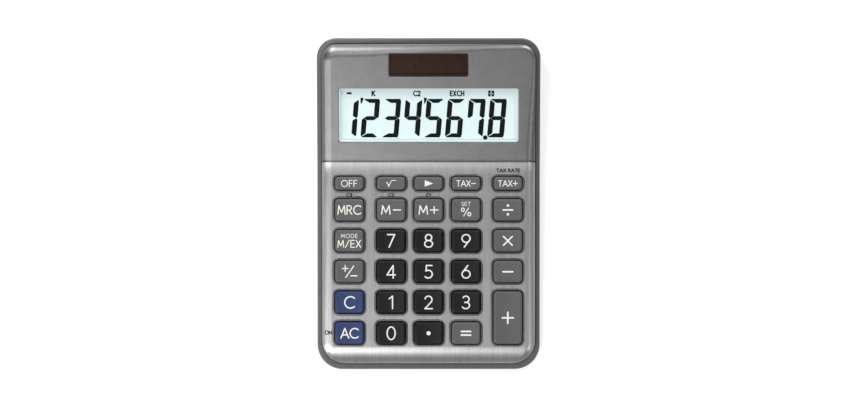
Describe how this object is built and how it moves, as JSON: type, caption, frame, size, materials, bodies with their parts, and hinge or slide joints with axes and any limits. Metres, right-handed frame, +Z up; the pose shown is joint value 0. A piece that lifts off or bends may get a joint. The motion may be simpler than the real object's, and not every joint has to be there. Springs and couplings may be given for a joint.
{
  "type": "desk calculator",
  "caption": "Small solar desk calculator: wedge case, raised tilted display, brushed metal keypad deck, sprung keys and one tall plus key.",
  "frame": {"origin": "centre of the calculator's outline, on the surface the feet stand on", "axes": "+X to the user's right, +Y to the back (display end), +Z up"},
  "size_m": [0.102, 0.151, 0.0289],
  "materials": {
    "rear_case": "fine texture",
    "housing_paint": "fine grained metallic, satin",
    "aluminium": "brushed front to back",
    "clear_window": "polished clear plastic",
    "smoked_window": "polished tinted plastic",
    "foam": "pale closed-cell foam",
    "polarizer": "film",
    "cell_glass": "polished",
    "reflector": "satin film",
    "inner_plastic": "moulded",
    "flex_film": "film with printed tracks",
    "solar_cell": "dark brown film on glass",
    "lead": "soft sleeve",
    "board": "solder mask",
    "steel": "plated",
    "component": "ceramic",
    "resin": "poured",
    "carbon": "printed carbon",
    "silicone": "moulded silicone",
    "spring_metal": "plated spring",
    "foot_rubber": "matt",
    "key_grey": "satin",
    "key_black": "satin",
    "key_blue": "satin"
  },
  "bodies": {
    "case": {"rear_case": "rear_case", "front_case": "housing_paint", "keypad_panel": "aluminium", "lcd_window": "clear_window", "solar_window": "smoked_window", "lcd_gasket": "foam", "lcd_front_polarizer": "polarizer", "lcd_front_glass": "cell_glass", "lcd_rear_glass": "cell_glass", "lcd_reflector": "reflector", "lcd_holder": "inner_plastic", "lcd_ribbon": "flex_film", "solar_cell": "solar_cell", "solar_retainer": "inner_plastic", "solar_leads": "lead", "main_board": "board", "board_screws": "steel", "board_components": "component", "chip_resin": "resin", "key_contacts": "carbon", "dome_sheet": "silicone", "carbon_pills": "carbon", "battery": "steel", "battery_contact_positive": "spring_metal", "battery_contact_negative": "spring_metal", "battery_leads": "lead", "battery_cover": "rear_case", "battery_cover_screw": "steel", "case_screws": "steel", "front_feet": "foot_rubber", "rear_feet": "foot_rubber"},
    "key_off": {"key_off": "key_grey"},
    "key_root": {"key_root": "key_grey"},
    "key_correct": {"key_correct": "key_grey"},
    "key_tax_minus": {"key_tax_minus": "key_grey"},
    "key_tax_plus": {"key_tax_plus": "key_grey"},
    "key_mrc": {"key_mrc": "key_grey"},
    "key_m_minus": {"key_m_minus": "key_grey"},
    "key_m_plus": {"key_m_plus": "key_grey"},
    "key_percent": {"key_percent": "key_grey"},
    "key_divide": {"key_divide": "key_grey"},
    "key_mode": {"key_mode": "key_grey"},
    "key_7": {"key_7": "key_black"},
    "key_8": {"key_8": "key_black"},
    "key_9": {"key_9": "key_black"},
    "key_multiply": {"key_multiply": "key_grey"},
    "key_sign": {"key_sign": "key_grey"},
    "key_4": {"key_4": "key_black"},
    "key_5": {"key_5": "key_black"},
    "key_6": {"key_6": "key_black"},
    "key_minus": {"key_minus": "key_grey"},
    "key_c": {"key_c": "key_blue"},
    "key_1": {"key_1": "key_black"},
    "key_2": {"key_2": "key_black"},
    "key_3": {"key_3": "key_black"},
    "key_plus": {"key_plus": "key_grey"},
    "key_ac": {"key_ac": "key_blue"},
    "key_0": {"key_0": "key_black"},
    "key_point": {"key_point": "key_black"},
    "key_equals": {"key_equals": "key_grey"}
  },
  "joints": [
    {"name": "key_off_press", "type": "slide", "parent": "case", "child": "key_off", "axis": [0, 0.061, -0.9981], "range_m": [0, 0.0012], "stiffness_N_per_m": 400, "springref_m": -0.0005, "deforming": ["dome_sheet", "carbon_pills"]},
    {"name": "key_root_press", "type": "slide", "parent": "case", "child": "key_root", "axis": [0, 0.061, -0.9981], "range_m": [0, 0.0012], "stiffness_N_per_m": 400, "springref_m": -0.0005, "deforming": ["dome_sheet", "carbon_pills"]},
    {"name": "key_correct_press", "type": "slide", "parent": "case", "child": "key_correct", "axis": [0, 0.061, -0.9981], "range_m": [0, 0.0012], "stiffness_N_per_m": 400, "springref_m": -0.0005, "deforming": ["dome_sheet", "carbon_pills"]},
    {"name": "key_tax_minus_press", "type": "slide", "parent": "case", "child": "key_tax_minus", "axis": [0, 0.061, -0.9981], "range_m": [0, 0.0012], "stiffness_N_per_m": 400, "springref_m": -0.0005, "deforming": ["dome_sheet", "carbon_pills"]},
    {"name": "key_tax_plus_press", "type": "slide", "parent": "case", "child": "key_tax_plus", "axis": [0, 0.061, -0.9981], "range_m": [0, 0.0012], "stiffness_N_per_m": 400, "springref_m": -0.0005, "deforming": ["dome_sheet", "carbon_pills"]},
    {"name": "key_mrc_press", "type": "slide", "parent": "case", "child": "key_mrc", "axis": [0, 0.061, -0.9981], "range_m": [0, 0.0012], "stiffness_N_per_m": 400, "springref_m": -0.0005, "deforming": ["dome_sheet", "carbon_pills"]},
    {"name": "key_m_minus_press", "type": "slide", "parent": "case", "child": "key_m_minus", "axis": [0, 0.061, -0.9981], "range_m": [0, 0.0012], "stiffness_N_per_m": 400, "springref_m": -0.0005, "deforming": ["dome_sheet", "carbon_pills"]},
    {"name": "key_m_plus_press", "type": "slide", "parent": "case", "child": "key_m_plus", "axis": [0, 0.061, -0.9981], "range_m": [0, 0.0012], "stiffness_N_per_m": 400, "springref_m": -0.0005, "deforming": ["dome_sheet", "carbon_pills"]},
    {"name": "key_percent_press", "type": "slide", "parent": "case", "child": "key_percent", "axis": [0, 0.061, -0.9981], "range_m": [0, 0.0012], "stiffness_N_per_m": 400, "springref_m": -0.0005, "deforming": ["dome_sheet", "carbon_pills"]},
    {"name": "key_divide_press", "type": "slide", "parent": "case", "child": "key_divide", "axis": [0, 0.061, -0.9981], "range_m": [0, 0.0012], "stiffness_N_per_m": 400, "springref_m": -0.0005, "deforming": ["dome_sheet", "carbon_pills"]},
    {"name": "key_mode_press", "type": "slide", "parent": "case", "child": "key_mode", "axis": [0, 0.061, -0.9981], "range_m": [0, 0.0012], "stiffness_N_per_m": 400, "springref_m": -0.0005, "deforming": ["dome_sheet", "carbon_pills"]},
    {"name": "key_7_press", "type": "slide", "parent": "case", "child": "key_7", "axis": [0, 0.061, -0.9981], "range_m": [0, 0.0012], "stiffness_N_per_m": 400, "springref_m": -0.0005, "deforming": ["dome_sheet", "carbon_pills"]},
    {"name": "key_8_press", "type": "slide", "parent": "case", "child": "key_8", "axis": [0, 0.061, -0.9981], "range_m": [0, 0.0012], "stiffness_N_per_m": 400, "springref_m": -0.0005, "deforming": ["dome_sheet", "carbon_pills"]},
    {"name": "key_9_press", "type": "slide", "parent": "case", "child": "key_9", "axis": [0, 0.061, -0.9981], "range_m": [0, 0.0012], "stiffness_N_per_m": 400, "springref_m": -0.0005, "deforming": ["dome_sheet", "carbon_pills"]},
    {"name": "key_multiply_press", "type": "slide", "parent": "case", "child": "key_multiply", "axis": [0, 0.061, -0.9981], "range_m": [0, 0.0012], "stiffness_N_per_m": 400, "springref_m": -0.0005, "deforming": ["dome_sheet", "carbon_pills"]},
    {"name": "key_sign_press", "type": "slide", "parent": "case", "child": "key_sign", "axis": [0, 0.061, -0.9981], "range_m": [0, 0.0012], "stiffness_N_per_m": 400, "springref_m": -0.0005, "deforming": ["dome_sheet", "carbon_pills"]},
    {"name": "key_4_press", "type": "slide", "parent": "case", "child": "key_4", "axis": [0, 0.061, -0.9981], "range_m": [0, 0.0012], "stiffness_N_per_m": 400, "springref_m": -0.0005, "deforming": ["dome_sheet", "carbon_pills"]},
    {"name": "key_5_press", "type": "slide", "parent": "case", "child": "key_5", "axis": [0, 0.061, -0.9981], "range_m": [0, 0.0012], "stiffness_N_per_m": 400, "springref_m": -0.0005, "deforming": ["dome_sheet", "carbon_pills"]},
    {"name": "key_6_press", "type": "slide", "parent": "case", "child": "key_6", "axis": [0, 0.061, -0.9981], "range_m": [0, 0.0012], "stiffness_N_per_m": 400, "springref_m": -0.0005, "deforming": ["dome_sheet", "carbon_pills"]},
    {"name": "key_minus_press", "type": "slide", "parent": "case", "child": "key_minus", "axis": [0, 0.061, -0.9981], "range_m": [0, 0.0012], "stiffness_N_per_m": 400, "springref_m": -0.0005, "deforming": ["dome_sheet", "carbon_pills"]},
    {"name": "key_c_press", "type": "slide", "parent": "case", "child": "key_c", "axis": [0, 0.061, -0.9981], "range_m": [0, 0.0012], "stiffness_N_per_m": 400, "springref_m": -0.0005, "deforming": ["dome_sheet", "carbon_pills"]},
    {"name": "key_1_press", "type": "slide", "parent": "case", "child": "key_1", "axis": [0, 0.061, -0.9981], "range_m": [0, 0.0012], "stiffness_N_per_m": 400, "springref_m": -0.0005, "deforming": ["dome_sheet", "carbon_pills"]},
    {"name": "key_2_press", "type": "slide", "parent": "case", "child": "key_2", "axis": [0, 0.061, -0.9981], "range_m": [0, 0.0012], "stiffness_N_per_m": 400, "springref_m": -0.0005, "deforming": ["dome_sheet", "carbon_pills"]},
    {"name": "key_3_press", "type": "slide", "parent": "case", "child": "key_3", "axis": [0, 0.061, -0.9981], "range_m": [0, 0.0012], "stiffness_N_per_m": 400, "springref_m": -0.0005, "deforming": ["dome_sheet", "carbon_pills"]},
    {"name": "key_plus_press", "type": "slide", "parent": "case", "child": "key_plus", "axis": [0, 0.061, -0.9981], "range_m": [0, 0.0012], "stiffness_N_per_m": 400, "springref_m": -0.0005, "deforming": ["dome_sheet", "carbon_pills"]},
    {"name": "key_ac_press", "type": "slide", "parent": "case", "child": "key_ac", "axis": [0, 0.061, -0.9981], "range_m": [0, 0.0012], "stiffness_N_per_m": 400, "springref_m": -0.0005, "deforming": ["dome_sheet", "carbon_pills"]},
    {"name": "key_0_press", "type": "slide", "parent": "case", "child": "key_0", "axis": [0, 0.061, -0.9981], "range_m": [0, 0.0012], "stiffness_N_per_m": 400, "springref_m": -0.0005, "deforming": ["dome_sheet", "carbon_pills"]},
    {"name": "key_point_press", "type": "slide", "parent": "case", "child": "key_point", "axis": [0, 0.061, -0.9981], "range_m": [0, 0.0012], "stiffness_N_per_m": 400, "springref_m": -0.0005, "deforming": ["dome_sheet", "carbon_pills"]},
    {"name": "key_equals_press", "type": "slide", "parent": "case", "child": "key_equals", "axis": [0, 0.061, -0.9981], "range_m": [0, 0.0012], "stiffness_N_per_m": 400, "springref_m": -0.0005, "deforming": ["dome_sheet", "carbon_pills"]}
  ]
}
